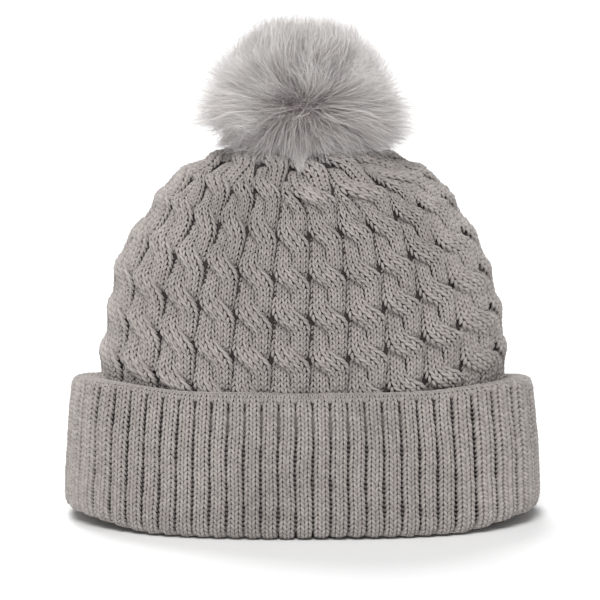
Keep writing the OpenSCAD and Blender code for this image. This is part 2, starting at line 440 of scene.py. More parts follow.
# ---- materials
def new_material(name):
    """A material with one shader, and its node tree."""
    made = bpy.data.materials.new(name)
    made.use_nodes = True
    tree = made.node_tree
    tree.nodes.clear()
    shader = node(tree, "BsdfPrincipled")
    node(tree, "OutputMaterial", {0: shader.outputs[0]})
    return made, tree, shader


def plug(tree, made, inputs):
    """Give a node's inputs their values, or link them to other nodes' sockets."""
    for key, value in inputs.items():
        if isinstance(value, bpy.types.NodeSocket):
            tree.links.new(value, made.inputs[key])
        else:
            made.inputs[key].default_value = value


def node(tree, kind, inputs=None, **settings):
    """A shader node with its settings and inputs."""
    made = tree.nodes.new("ShaderNode" + kind)
    for key, value in settings.items():
        setattr(made, key, value)
    plug(tree, made, inputs or {})
    return made


def noise(tree, scale, detail=3.0):
    """Noise in the object's own coordinates, with scale in waves a metre."""
    way = node(tree, "TexCoord").outputs["Object"]
    inputs = {"Vector": way, "Scale": scale, "Detail": detail}
    return node(tree, "TexNoise", inputs).outputs["Fac"]


def maths(tree, operation, first, second=0.0):
    return node(tree, "Math", {0: first, 1: second}, operation=operation).outputs[0]


def weighted(tree, terms, offset=None):
    """The sum of sockets times their weights, and an offset if there is one."""
    total, *others = (maths(tree, "MULTIPLY", socket, weight) for socket, weight in terms)
    for part in others:
        total = maths(tree, "ADD", total, part)
    return total if offset is None else maths(tree, "ADD", total, offset)


def ramp(tree, factor, stops):
    """A colour ramp from (position, linear colour) stops."""
    made = node(tree, "ValToRGB", {"Fac": factor})
    elements = made.color_ramp.elements
    while len(elements) < len(stops):
        elements.new(0.5)
    for element, (position, colour) in zip(elements, stops):
        element.position = position
        element.color = (*colour, 1)
    return made.outputs["Color"]


def attribute(tree, name):
    return node(tree, "Attribute", attribute_name=name).outputs["Fac"]


def srgb(colour):
    """Linear values for a display colour from 0 to 255."""
    c = np.array(colour) / 255
    return tuple(np.where(c <= 0.04045, c / 12.92, ((c + 0.055) / 1.055) ** 2.4))


def bump(tree, shader, height, distance, strength=1.0):
    made = node(tree, "Bump", {"Height": height, "Distance": distance, "Strength": strength})
    plug(tree, shader, {"Normal": made.outputs[0]})


def yarn_material(name, dark, light):
    """Plied yarn: twisted strands along each leg, fine fibres, and a slight change from leg to leg."""
    made, tree, shader = new_material(name)
    uv = node(tree, "UVMap", uv_map="yarn")
    round_it, along_it = node(tree, "SeparateXYZ", {0: uv.outputs[0]}).outputs[:2]
    twist = weighted(tree, [(round_it, 3.0), (along_it, 2.2)])
    ply = maths(tree, "ABSOLUTE", maths(tree, "SINE", maths(tree, "MULTIPLY", twist, math.pi)))
    fibres = noise(tree, 2600.0, 2.0)
    broad = noise(tree, 28.0)
    # Each leg's tone is random, and it is lowered where painted shade darkens legs in the valleys.
    leg = attribute(tree, "tone")
    factor = weighted(tree, [(leg, 0.2), (broad, 0.35), (fibres, 0.22), (ply, 0.16)])
    plug(tree, shader, {
        "Base Color": ramp(tree, factor, [(0.1, srgb(dark)), (0.95, srgb(light))]),
        "Roughness": weighted(tree, [(fibres, 0.25)], 0.62),
        "Specular IOR Level": 0.28, "Sheen Weight": 0.25, "Sheen Roughness": 0.45,
    })
    bump(tree, shader, maths(tree, "ADD", ply, weighted(tree, [(fibres, 0.5)])), 0.00018, 0.8)
    return made


def fur_material(name):
    """Acrylic fur: grey-brown at the roots, pale at the tips, with a soft gloss."""
    made, tree, shader = new_material(name)
    along = attribute(tree, "along")
    # A strand's tone shifts its colour along the ramp; the tone holds a random change plus painted light
    # and shade.
    tone = maths(tree, "MULTIPLY", maths(tree, "SUBTRACT", attribute(tree, "tone"), 0.5), 0.5)
    stops = [(0.0, srgb((132, 121, 120))), (0.35, srgb((174, 166, 164))),
             (0.65, srgb((205, 200, 198))), (1.0, srgb((228, 225, 223)))]
    plug(tree, shader, {
        "Base Color": ramp(tree, maths(tree, "ADD", along, tone), stops),
        "Roughness": 0.5, "Specular IOR Level": 0.35, "Sheen Weight": 0.3, "Sheen Roughness": 0.4,
    })
    return made


def cloth_material(name, dark, light, scale, depth):
    """Felt, wadding, backing, a knit's skin, or a dark skin of painted shade: matted fibres in two tones.
    """
    made, tree, shader = new_material(name)
    fibres = noise(tree, scale, 5.0)
    broad = noise(tree, scale * 0.06)
    factor = weighted(tree, [(fibres, 0.6), (broad, 0.4)])
    colour = ramp(tree, factor, [(0.25, srgb(dark)), (0.75, srgb(light))])
    plug(tree, shader, {"Base Color": colour, "Roughness": 0.9, "Sheen Weight": 0.3})
    bump(tree, shader, fibres, depth)
    return made


def ribbon_material(name):
    """A satin-woven ribbon: fine crossed threads with a low gloss."""
    made, tree, shader = new_material(name)
    way = node(tree, "TexCoord").outputs["Object"]
    weft, warp = (
        node(tree, "TexWave", {"Vector": way, "Scale": scale, "Distortion": 0.6},
             bands_direction=direction).outputs["Fac"]
        for direction, scale in (("Z", 1400.0), ("X", 900.0)))
    weave = maths(tree, "MULTIPLY", weft, warp)
    colour = ramp(tree, weave, [(0.0, srgb((196, 192, 186))), (0.8, srgb((236, 233, 227)))])
    plug(tree, shader, {"Base Color": colour, "Roughness": 0.42})
    bump(tree, shader, weave, 0.00006)
    return made


def metal_material(name, colour, roughness):
    """Plated snap metal with faint turning marks and worn spots."""
    made, tree, shader = new_material(name)
    marks = noise(tree, 3200.0, 2.0)
    wear = noise(tree, 420.0, 4.0)
    plug(tree, shader, {
        "Base Color": ramp(tree, wear, [(0.3, tuple(c * 0.82 for c in colour)), (0.65, colour)]),
        "Roughness": weighted(tree, [(wear, 0.2)], roughness),
        "Metallic": 1.0,
    })
    bump(tree, shader, marks, 0.00002, 0.5)
    return made


CROWN_YARN = yarn_material("crown_yarn", (117, 110, 106), (195, 188, 184))
RIB_YARN = yarn_material("rib_yarn", (114, 107, 103), (196, 189, 185))
# The dark skin under the knit is painted shade, standing in for the shade in its grooves and pits.
GROOVE_SHADE_SKIN = cloth_material("dark_shade_skin", (40, 32, 31), (60, 51, 49), 900.0, 0.0005)
PURL_SIDE = cloth_material("purl_side", (104, 97, 93), (150, 143, 139), 800.0, 0.0006)
SEWING_YARN = yarn_material("sewing_yarn", (118, 111, 107), (160, 153, 149))
THREAD = yarn_material("sewing_thread", (112, 105, 101), (150, 143, 139))
FUR = fur_material("faux_fur")
UNDERFUR = cloth_material("underfur", (108, 97, 96), (142, 132, 131), 700.0, 0.001)
BACKING = cloth_material("fur_backing", (150, 141, 132), (186, 178, 168), 1500.0, 0.0003)
WADDING = cloth_material("wadding", (214, 211, 206), (240, 238, 234), 500.0, 0.0012)
FELT = cloth_material("felt", (110, 104, 101), (144, 138, 134), 1200.0, 0.0004)
RIBBON = ribbon_material("label_ribbon")
SNAP_METAL = metal_material("snap_metal", (0.62, 0.61, 0.58), 0.22)
SPRING_WIRE = metal_material("spring_wire", (0.72, 0.58, 0.36), 0.2)


# ---- the crown
ROW = 2.5  # height of one row of the crown
CABLE_ROWS = 8  # rows from one crossing to the next
CABLE = ROW * CABLE_ROWS
CROSSING = 14.5  # length over which two strands change sides
STRAND = 0.232  # half width of a strand, as a share of its column
CROWN_LENGTH = float(np.argmax(CROWN.rows[CROWN.per_column * 6] >= 1)) * CROWN.step_v
FIRST_CROSSING = CROWN_LENGTH - 12.5  # the lowest crossing on the front
CROWN_SINK = -2.2  # the yarn's middle line, from the crown's outer size


def strand_path(front, along, across):
    """A strand's wale at a distance along from a crossing: its place in the column, and its height."""
    zone = np.where(front > 0, CROSSING, CROSSING * 0.1)
    swing = np.sin(math.pi / 2 * np.clip(along / (zone / 2), -1, 1))
    wide = np.exp(-(along / 4.8) ** 2)
    near = np.exp(-(along / np.where(front > 0, 6.4, np.where(along > 0, 4.4, 2.8))) ** 2)
    offset = 0.25 * front * swing + across * (1 + np.where(front > 0, 0.80, 0.0) * wide)
    offset = offset * (1 - np.where(front > 0, 0.0, 0.07) * np.exp(-(along / 3.6) ** 4))
    barrel = -3.2 * np.clip(np.abs(offset) / 0.5, 0, 1.1) ** 4 - 0.9 * np.exp(-(offset / 0.13) ** 2)
    barrel = barrel + front * 0.6 * np.clip(along / 10, -1, 1)
    rope = np.where(front > 0, 2.8, -2.4) - np.where(front > 0, 2.0, 0.3) * (np.abs(across) / STRAND) ** 3
    return offset, barrel * (1 - near) + rope * near


def crown_rows():
    """All rows of the crown: the middle of the crossing that each belongs to, and its own place."""
    rows = []
    for crossing in range(-7, 4):
        middle = FIRST_CROSSING + crossing * CABLE
        for row in range(CABLE_ROWS):
            v = middle + ROW * (row + 0.5 - CABLE_ROWS / 2)
            if v > 9:
                rows.append((middle, v))
    return np.array(rows)


def crossing_place(column, middle):
    """Where a column's crossing really lies: a little off the even spacing, more so towards the top."""
    loose = 0.8 + 1.6 * smooth((95 - middle) / 60)
    return middle + loose * np.sin(column * 2.1 + middle * 0.37)


def strand_wales(width):
    """How many wales each strand of a column has, for the column's width."""
    return np.select([width > 11.5, width > 7.4, width > 2.2], [3, 2, 1], 0)


def knit_crown():
    """The crown's stitches. A strand has three, two or one wales, by its column's width."""
    yarn = Yarn(CROWN, 11)
    rows = crown_rows()
    for wales in (3, 2, 1):
        wale = 2 * STRAND / wales
        places = (np.arange(wales) - (wales - 1) / 2) * wale
        column, row, place, front, hand = spread(
            np.arange(COLUMNS) + 0.5, np.arange(len(rows)), places, [-1, 1], [-1, 1])
        middle, v_row = rows[row].T
        middle = crossing_place(column, middle)
        v = v_row[:, None] - LEG_UP * ROW
        along = v - middle[:, None]
        across = place[:, None] + LEG_ACROSS * hand[:, None] * wale
        offset, height = strand_path(front[:, None], along, across)
        column_width = CROWN.column_width(column, v_row)
        point, outward = CROWN.spot(column, v_row)
        stretched = smooth((np.abs(outward[:, 0]) - 0.4) / 0.4)
        relief = (np.clip(column_width / 11, 0.35, 1) * (1 - 0.42 * stretched))[:, None]
        swell = 1 + 0.24 * (front[:, None] > 0) * np.exp(-(along / 4.8) ** 2)
        radius = np.clip(0.212 * column_width * wale, 0.35, 0.88)[:, None] * swell
        keep = (point[:, 2] > RIM_Z - 11) & (strand_wales(column_width) == wales)
        height = height * relief + CROWN_SINK + 0.8 * smooth((v - 125) / 25) + radius * LEG_OUT
        yarn.add((column[:, None] + offset)[keep], v[keep], height[keep], (radius * LEG_THICK)[keep])
    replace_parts(yarn.pieces("crown_knit", 6, ("hat", "crown_knit", CROWN_YARN)), "crown")


def closed_skin(name, lines, place):
    """A closed skin round the hat through lines of (fabric, v, h), each once round."""
    turn = np.arange(lines[0][0].columns * 6) / 6
    rings = [fabric.lift(turn, v, h)[0] for fabric, v, h in lines]
    points = np.concatenate(rings)
    faces, uv = grid_faces(1, len(rings) + 1, len(turn), True)
    build(name, points, faces % len(points), place, {"OFBake": uv}, {})


def deeper(lines, step):
    """Lines of (fabric, v, h), moved deeper."""
    return [(fabric, v, h - step) for fabric, v, h in lines]


def ridges(fabric, rows, h):
    """Lines of (fabric, v, h) for a purl side, whose rows stand up and lie back in turn."""
    return [(fabric, v, h + 0.3 * (-1) ** i) for i, v in enumerate(rows)]


def hat_skins(part, slot, outer, purl_depth, inner):
    """Painted shade as a dark skin in a knit's grooves, along outer lines; its purl side, closed by inner
    ones.
    """
    closed_skin(part + "_grooves", outer + deeper(outer, 0.5)[::-1], ("hat", slot, GROOVE_SHADE_SKIN))
    closed_skin(part + "_inside", deeper(outer, purl_depth) + inner, ("hat", slot, PURL_SIDE))


def crown_skins():
    outer = [(CROWN, v, -4.2) for v in np.arange(6, 168, 3.0)]
    hat_skins("crown", "crown_knit", outer, 1.6, ridges(CROWN, np.arange(167, 5, -1.25), -6.5))


# ---- ribs of the cuff and the band
RIB_ROW = 2.26  # height of one row of the ribbing
RIB_FILL = 0.855  # share of a rib's pitch that its two raised wales cover
VALLEY = 2.9  # depth of the valleys between ribs
WIDE_RIB = 9.5  # ribs wider than this keep a narrow valley at the hat's ends
RIB_LEGS = (0.202, 0.34, 1.1)  # yarn radius: share of a wale, and its limits


def knit_ribs(yarn, v_first, v_last, sink, flat_top):
    """Two raised wales for each rib, with a deep valley between ribs that opens below a flat top edge."""
    rows = np.arange(v_first, v_last, RIB_ROW)
    rib, v_row, wale, hand = spread(np.arange(RIBS) + 0.5, rows, [-1, 1], [-1, 1])
    v = v_row[:, None] - LEG_UP * RIB_ROW
    formed = smooth((v - flat_top - 0.9 * np.sin(rib[:, None] * 2.7)) / 6.0)
    pitch = yarn.fabric.column_width(rib, v_row)[:, None]
    fill = RIB_FILL * (1 + 0.07 * waves(rib[:, None] * 5, v, 77, (9, 14, 23)))
    at_end = smooth((np.abs(yarn.fabric.spot(rib, v_row)[1][:, :1]) - 0.45) / 0.3)
    fill = 1 - (1 - fill) * (1 - at_end * (1 - np.clip(WIDE_RIB / pitch, 0.4, 1)))
    half = 0.25 + (fill - 0.5) * 0.5 * formed
    place = wale[:, None] * half / 2 + LEG_ACROSS * hand[:, None] * half
    edge = np.clip(np.abs(place) / (fill / 2), 0, 1.2)
    radius = np.clip(RIB_LEGS[0] * pitch * half, *RIB_LEGS[1:])
    height = sink + radius * LEG_OUT - VALLEY * 0.42 * formed * edge ** 4
    drift = 0.045 * waves(rib[:, None] * 7, v, 19, (21, 33, 50))
    yarn.add(rib[:, None] + place + drift, v, height, radius * LEG_THICK)


def knit_valleys(yarn, v_first, sink, flat_top):
    """The sunken wales between ribs at the top edge, which sink out of sight below it."""
    rows = np.arange(v_first, flat_top + 8, RIB_ROW)
    rib, v_row, wale, hand = spread(np.arange(RIBS), rows, [-1, 1], [-1, 1])
    v = v_row[:, None] - LEG_UP * RIB_ROW
    formed = smooth((v - flat_top) / 8.0) ** 2
    half = 0.25 * (1 - 0.6 * formed)
    place = wale[:, None] * half / 2 + LEG_ACROSS * hand[:, None] * half
    width = yarn.fabric.column_width(rib, v_row)[:, None] * 0.25
    radius = np.clip(0.22 * width, 0.34, 0.7)
    height = sink + radius * LEG_OUT - VALLEY * formed
    # The tone of -0.1 is a little painted shade on these sunken wales.
    yarn.add(rib[:, None] + place, v, height, radius * LEG_THICK, -0.1)


def knit_ladder(yarn, v_first, v_last, depth):
    """The purl bumps deep in the valleys between ribs, like a ladder's rungs, darkened by painted shade."""
    rib, v_row = spread(np.arange(RIBS), np.arange(v_first, v_last, RIB_ROW))
    reach = 0.5 - RIB_FILL / 2 + 0.09
    span = np.linspace(-1, 1, len(LEG_UP))[None]
    lift = np.array([-0.5, 0.1, 0.3, 0.1, -0.5])
    radius = np.array([0.45, 0.58, 0.62, 0.58, 0.45])
    # The tone of -2.0 is painted shade: it makes these bumps the darkest yarn, as if in deep shade.
    yarn.add(rib[:, None] + span * reach, v_row[:, None] + 0.7 * span, depth + lift, radius, -2.0)


CUFF_LAST = 85.0  # distance from the crest, round the fold, to the lip


def knit_cuff():
    first, sink, flat_top = -16.0, -1.0, 0.8
    yarn = Yarn(CUFF, 23)
    knit_ribs(yarn, first, CUFF_LAST, sink, flat_top)
    knit_valleys(yarn, first, sink, flat_top)
    knit_ladder(yarn, 3.4, CUFF_LAST, -4.15)
    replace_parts(yarn.pieces("cuff_knit", 4, ("cuff", "rib_knit", RIB_YARN)), "cuff")


def cuff_skins():
    """Painted shade as a dark skin in the cuff's valleys, and its purl side, which hangs close to the band.
    """
    outer = [(CUFF, v, -1.9) for v in np.arange(-24, 6, 1.0)]
    outer += [(CUFF, v, -1.9 - 2.2 * smooth((v - 6) / 8)) for v in np.arange(7, CUFF_LAST, 2.5)]
    face = outer[9:]
    closed_skin("cuff_grooves", face + deeper(face, 0.4)[::-1], ("cuff", "rib_knit", GROOVE_SHADE_SKIN))
    wall = rounded_ring([(BAND_A + 0.9, BAND_B + 0.9, z) for z in (4.5, 20, 40, 60)])
    wall = Fabric(wall, RIB_TABLE, RIBS, 0, 0, 60)
    inner = [(wall, v, -0.2) for v in (1, 12, 24, 36, 48, 54)]
    closed_skin("cuff_inside", deeper(outer, 0.8) + inner, ("cuff", "rib_knit", PURL_SIDE))


BAND_LENGTH = BAND_TOP - BAND_LOW


def knit_band():
    first, sink, flat_top = 12.0, -1.9, -20.0
    yarn = Yarn(BAND, 31, 5)
    knit_ribs(yarn, first, BAND_LENGTH - 0.6, sink, flat_top)
    knit_ladder(yarn, first, BAND_LENGTH - 1.5, -3.15)
    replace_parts(yarn.pieces("band_knit", 3, ("hat", "rib_knit", RIB_YARN)), "inner_band")


def band_skins():
    outer = [(BAND, v, -3.0) for v in np.linspace(0.5, BAND_LENGTH - 0.5, 20)]
    rows = np.linspace(BAND_LENGTH - 0.5, 0.5, 61)
    hat_skins("band", "rib_knit", outer, 0.7, ridges(BAND, rows, -4.4))


# ---- the pom
CORE_Z = (CORE_HIGH[2] + CORE_LOW[2]) / 2
CORE_R = CORE_HIGH[0]
CORE_HALF = CORE_HIGH[2] - CROWN_TOP - 26
CORE_MIDDLE = np.array([0, 0, CORE_HIGH[2] - CORE_HALF])
POM_MIDDLE = np.array([0, 0, POM_Z])
FUR_DROP = 28.0  # how far the pile hangs below its widest line
FUR_PIECES = 6
FUR_WIDTHS = (0.085, 0.185)  # of a strand
BALL_STRANDS = 92000  # over a whole ball, most of which are kept
SKIRT_STRANDS = 34000  # likewise, of which the lower ones are kept
TUFT_STRANDS = 760
CLUMPS = 290
LOOSE_SHARE = 0.25  # of the ball's strands, that follow no clump


def core_surface(direction):
    """The point of the stuffed core in a direction from its middle."""
    return unit(direction) * [CORE_R, CORE_R, CORE_HALF] + CORE_MIDDLE


def fur_surface(direction):
    """The point of the pom's outer shape in a direction from its widest line's middle."""
    d = unit(direction)
    rise = np.where(d[..., 2] > 0, POM_TOP - POM_Z, FUR_DROP)
    scale = 1 / np.sqrt((d[..., 0] ** 2 + d[..., 1] ** 2) / POM_R ** 2 + (d[..., 2] / rise) ** 2)
    return d * scale[..., None] + POM_MIDDLE


def fur_floor(point):
    """The lowest the fur may hang at a point: the same all round the pom's axis."""
    reach = np.hypot(point[..., 0], point[..., 1])
    share = np.minimum(reach / CROWN_A, 1)
    return RIM_Z + (CROWN_TOP - RIM_Z) * np.sqrt(1 - share ** 3) + 0.9 - 4.0 * smooth((reach - 43) / 9)


def ball_points(count, rng, jitter):
    """Directions spread evenly over a ball, a little shaken."""
    i = np.arange(count) + 0.5
    z = 1 - 2 * i / count
    turn = math.pi * (1 + 5 ** 0.5) * i
    flat = np.sqrt(1 - z * z)
    even = np.stack([flat * np.cos(turn), flat * np.sin(turn), z], -1)
    return unit(even + rng.normal(0, jitter, (count, 3)))


PARTINGS = unit(np.array([[0.0, -0.99, 0.1], [-0.1, 0.99, 0.12]]))  # front and back


def combed(root_way, rng):
    """Where the pile's tips go: up from the core, and away from the partings at the front and the back."""
    height = np.clip(root_way[:, 2], -1, 1)
    rise = np.arcsin(height) + 0.6 * (1 - height ** 2)
    flat = unit(root_way[:, :2]) * np.cos(rise)[:, None]
    straight = np.column_stack([flat, np.sin(rise)])
    out = straight.copy()
    for parting in PARTINGS:
        middle = unit(parting + rng.normal(0, 0.17, straight.shape))
        facing = np.sum(straight * middle, axis=1)
        away = unit(straight - facing[:, None] * middle)
        out += away * (0.75 * smooth((facing - 0.1) / 0.9))[:, None]
    return unit(out)


TAPER = np.array([0.9, 1.0, 1.0, 0.85, 0.6, 0.12])  # a strand's width from root to tip


def strands(root, tip, bend, width, rng):
    """Tapered ribbons of fur from root to tip, leaving the root along its own direction."""
    length = np.linalg.norm(tip - root, axis=1, keepdims=True)
    start = unit(root - [0, 0, CORE_Z]) * length * 0.45
    end = unit(tip - root) * length * 0.3
    t = np.linspace(0, 1, len(TAPER))[None, :, None]
    p0, p1, p2, p3 = (p[:, None] for p in (root, root + start, tip - end + bend, tip))
    line = (1 - t) ** 3 * p0 + 3 * (1 - t) ** 2 * t * p1 + 3 * (1 - t) * t ** 2 * p2 + t ** 3 * p3
    lifted = np.maximum(line[..., 2], fur_floor(line))
    line[..., 2] = np.where(t[..., 0] > 0.25, lifted, line[..., 2])
    along = unit(np.gradient(line, axis=1))
    side = unit(np.cross(along, rng.normal(0, 1, (len(root), 1, 3))))
    half = side * TAPER[None, :, None] * width[:, None, None] / 2
    return np.stack([line - half, line + half], 2)


def fur_piece(name, points, tone):
    """Strands as one piece. Strands of the same tone share a column of the colour sheet."""
    faces, uv = grid_faces(*points.shape[:3], False)
    column = np.floor(tone * 255)[:, None, None]
    sheet = np.stack([(column + 0.15 + 0.7 * uv[..., 0]) / 256, 0.01 + 0.98 * uv[..., 1]], -1)
    along = np.linspace(0, 1, len(TAPER))[:, None]
    values = {"along": along, "tone": column / 255}
    values = {key: np.broadcast_to(value, points.shape[:3]) for key, value in values.items()}
    return build(name, points, faces, ("pom", "faux_fur", FUR), {"OFBake": sheet}, values)


def fur_tips(root_way, rng):
    """Tips of the ball's strands, drawn together in curved clumps, with loose ones between."""
    clumps = ball_points(CLUMPS, rng, 0.08)
    clump_tip = unit(combed(clumps, rng) + rng.normal(0, 0.2, clumps.shape))
    clump_length = rng.uniform(0.9, 1.09, len(clumps))
    clump_bend = rng.normal(0, 8.5, clumps.shape)
    clump_tone = rng.uniform(0, 1, len(clumps))
    count = len(root_way)
    nearest = np.argmax(unit(root_way + rng.normal(0, 0.09, root_way.shape)) @ clumps.T, axis=1)
    loose = rng.uniform(0, 1, count) < LOOSE_SHARE
    hold = np.where(loose, 0.15, rng.uniform(0.35, 0.85, count))[:, None]
    tip_way = combed(root_way, rng) * (1 - hold) + clump_tip[nearest] * hold
    tip_way = tip_way + rng.normal(0, 0.06, root_way.shape)
    reach = np.where(loose, 0.62 + 0.58 * rng.uniform(0, 1, count) ** 1.3,
                     clump_length[nearest] * rng.uniform(0.72, 1.03, count))
    tip = POM_MIDDLE + (fur_surface(tip_way) - POM_MIDDLE) * reach[:, None]
    level = unit(tip_way)[:, 2]
    fuller = 0.13 * np.exp(-((level + 0.05) / 0.28) ** 2)
    narrower = 0.15 * np.exp(-((level - 0.84) / 0.18) ** 2)
    tip[:, :2] *= (1 + fuller - narrower)[:, None]
    tip[:, 0] += 4.6 * smooth((-0.03 - level) / 0.28)
    tip[:, 2] -= 2.0 * np.hypot(tip[:, 0], tip[:, 1]) / POM_R + 1.4 * smooth((level - 0.5) / 0.4)
    bend = clump_bend[nearest] + rng.normal(0, 2.2, root_way.shape)
    # Painted light: strands that point up get paler tones and those that point down darker ones, as if lit
    # from above.
    painted_light = smooth(0.42 + 0.75 * level)
    tone = 0.08 + 0.16 * clump_tone[nearest] + 0.22 * rng.uniform(0, 1, count) + 0.46 * painted_light
    return tip, bend, tone


def skirt_tips(root_way, rng):
    """Tips of the strands that hang over the top of the crown."""
    count = len(root_way)
    turn = np.arctan2(root_way[:, 1], root_way[:, 0])
    lobe = 1 + 0.05 * waves(turn * 10, 0, 6, (5, 8, 13))
    lifted = rng.uniform(0, 1, count) < 0.45
    raised = np.where(lifted, rng.uniform(0, 17, count), rng.exponential(1.6, count))
    reach = (42 + 6.0 * np.sin(turn) ** 2) * lobe * rng.uniform(0.55, 1.06, count) ** 0.7
    out = unit(root_way[:, :2] + rng.normal(0, 0.08, (count, 2))) * reach[:, None]
    height = fur_floor(out) + raised
    # Painted shade: these low strands get dark tones, as if in the ball's shade, a little paler the higher
    # they are lifted.
    tone = rng.uniform(0.0, 0.28, count) + 0.010 * raised
    return np.column_stack([out, height]), rng.normal(0, 3.6, (count, 3)), tone


def hanging_tufts(rng):
    """Two locks that hang down over the crown, one at the front and one at the back."""
    count = TUFT_STRANDS
    side = np.where(np.arange(count) % 2 == 0, -1.0, 1.0)
    way = unit(np.column_stack([rng.normal(-0.05, 0.3, count), side, rng.normal(-1.5, 0.3, count)]))
    sideways = rng.normal(0, 1.9, count)
    reach = 52.5 - 1.6 * np.abs(sideways) - rng.exponential(2.2, count)
    out = np.column_stack([sideways - 1.5, side * reach])
    height = fur_floor(out) + rng.exponential(0.6, count)
    bend = rng.normal(0, 2.0, (count, 3))
    return way, (np.column_stack([out, height]), bend, rng.uniform(0.1, 0.5, count))


def grow_fur():
    rng = np.random.default_rng(47)
    ball_way = ball_points(BALL_STRANDS, rng, 0.02)
    ball_way = ball_way[ball_way[:, 2] > -0.86]
    skirt_way = ball_points(SKIRT_STRANDS, rng, 0.02)
    skirt_way = skirt_way[(skirt_way[:, 2] > -0.95) & (skirt_way[:, 2] < -0.3)]
    tuft_way, tufts = hanging_tufts(rng)
    made = [fur_tips(ball_way, rng), skirt_tips(skirt_way, rng), tufts]
    tip, bend, tone = (np.concatenate(part) for part in zip(*made))
    root = core_surface(np.concatenate([ball_way, skirt_way, tuft_way]))
    points = strands(root, tip, bend, rng.uniform(*FUR_WIDTHS, len(root)), rng)
    tone = np.clip(tone, 0, 0.999)
    groups = np.array_split(rng.permutation(len(root)), FUR_PIECES)
    made = [fur_piece(f"pom_fur_{i + 1}", points[g], tone[g]) for i, g in enumerate(groups)]
    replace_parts(made[0], "pom_fur")


def ball(name, surface, rings, sides, place):
    """A closed ball-like piece from a function of direction."""
    polar, turn = spread(np.linspace(0.001, math.pi - 0.001, rings),
                         np.linspace(0, TAU, sides, endpoint=False))
    way = np.stack([np.sin(polar) * np.cos(turn), np.sin(polar) * np.sin(turn), np.cos(polar)], -1)
    return grid_piece(name, surface(way).reshape(1, rings, sides, 3), place)


def underfur():
    """The dense short pile under the long strands."""
    def surface(way):
        x, y, z = way.T
        lumps = 1 + 0.05 * waves(x * 40, z * 40 + y * 25, 3, (7, 11, 17))
        middle = POM_MIDDLE + [0, 0, 3]
        point = middle + (fur_surface(way) - middle) * 0.5 * lumps[:, None]
        point[:, 2] = np.maximum(point[:, 2], fur_floor(point) + 6.6)
        return point
    ball("pom_underfur", surface, 48, 72, ("pom", "faux_fur", UNDERFUR))


# ---- threads, seam, core, felt and label
def twisted(name, line, radius, place, twists):
    """A thread of two plies twisted together along a line of points."""
    along = unit(np.gradient(line, axis=0))
    side = unit(np.cross(along, np.roll(along, 1, axis=1) + [0.3, 0.5, 0.1]))
    up = np.cross(side, along)
    turn = np.linspace(0, TAU * twists, len(line))[:, None]
    ply = (side * np.cos(turn) + up * np.sin(turn)) * radius * 0.5
    centres = np.stack([line + ply, line - ply])
    radii = np.full(centres.shape[:2], radius * 0.55)
    points = tubes(centres, np.broadcast_to(up, centres.shape), radii, 8)
    return grid_piece(name, points, place, twist=len(line) / 6, tone=0.5)


HAT_YARN = ("hat", "sewing_yarn", SEWING_YARN)
POM_THREAD = ("pom", "sewing_thread", THREAD)
LABEL_THREAD = ("hat", "sewing_thread", THREAD)


def threads():
    turn = np.linspace(0, TAU, 120)
    for name, place in (("crown_gather_thread", HAT_YARN), ("pom_gather_thread", POM_THREAD)):
        low, high = node_box(name)
        wire = (high[2] - low[2]) / 2
        radius = high[0] - wire
        line = np.stack([radius * np.cos(turn), radius * np.sin(turn), 0 * turn + low[2] + wire], -1)
        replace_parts(twisted(name + "_plies", line, wire, place, 14), name)
    low, high = node_box("pom_tie_thread")
    line = np.linspace([0, 0, low[2]], [0, 0, high[2]], 24)
    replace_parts(twisted("pom_tie_plies", line, high[0], POM_THREAD, 2), "pom_tie_thread")
    low, high = node_box("label_stitches")
    wire = (high[2] - low[2]) / 2
    made = []
    for i, x in enumerate((low[0] + wire, -5, 5, high[0] - wire)):
        line = np.linspace([x, low[1], low[2] + wire], [x, high[1], low[2] + wire], 12)
        made.append(twisted(f"label_stitch_{i + 1}", line, wire, LABEL_THREAD, 1))
    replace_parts(made[0], "label_stitches")


def back_seam():
    """The seam up the inside of the back: a joined edge, overcast with yarn."""
    step, stitch = 0.35, 2.4
    band_u = np.interp(0, RIB_Q, np.linspace(0, FRONT_RIBS, len(RIB_Q))) + RIBS / 2
    crown_u = COLUMNS / 2 + FRONT_COLUMNS / 2 - COLUMN_SHIFT / COLUMN_PITCH
    top = node_box("back_seam")[1][2] - 0.8
    parts = []
    for fabric, u, first, last, depth in ((BAND, band_u, 66, 1, -5.7), (CROWN, crown_u, 144, 20, -7.0)):
        run = np.arange(first, last, -step)
        line = fabric.lift(u, run, depth)[0]
        parts.append(line[line[:, 2] < top])
    line = np.concatenate(parts)
    line[:, 0] = 0
    normal = np.cross(unit(np.gradient(line, axis=0)), [1.0, 0, 0])
    count = len(line)
    turn = np.arange(count)[:, None] * step / stitch * TAU
    helix = line + np.cos(turn) * [1.15, 0, 0] + np.sin(turn) * normal * 0.85
    made = []
    for name, centre, radius, sides, tone in (
            ("back_seam_edge", line, 0.75, 10, 0.4), ("back_seam_overcast", helix, 0.32, 6, 0.7)):
        points = tubes(centre[None], normal[None], np.full((1, count), radius), sides)
        made.append(grid_piece(name, points, HAT_YARN, twist=count / 8, tone=tone))
    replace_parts(made[0], "back_seam")


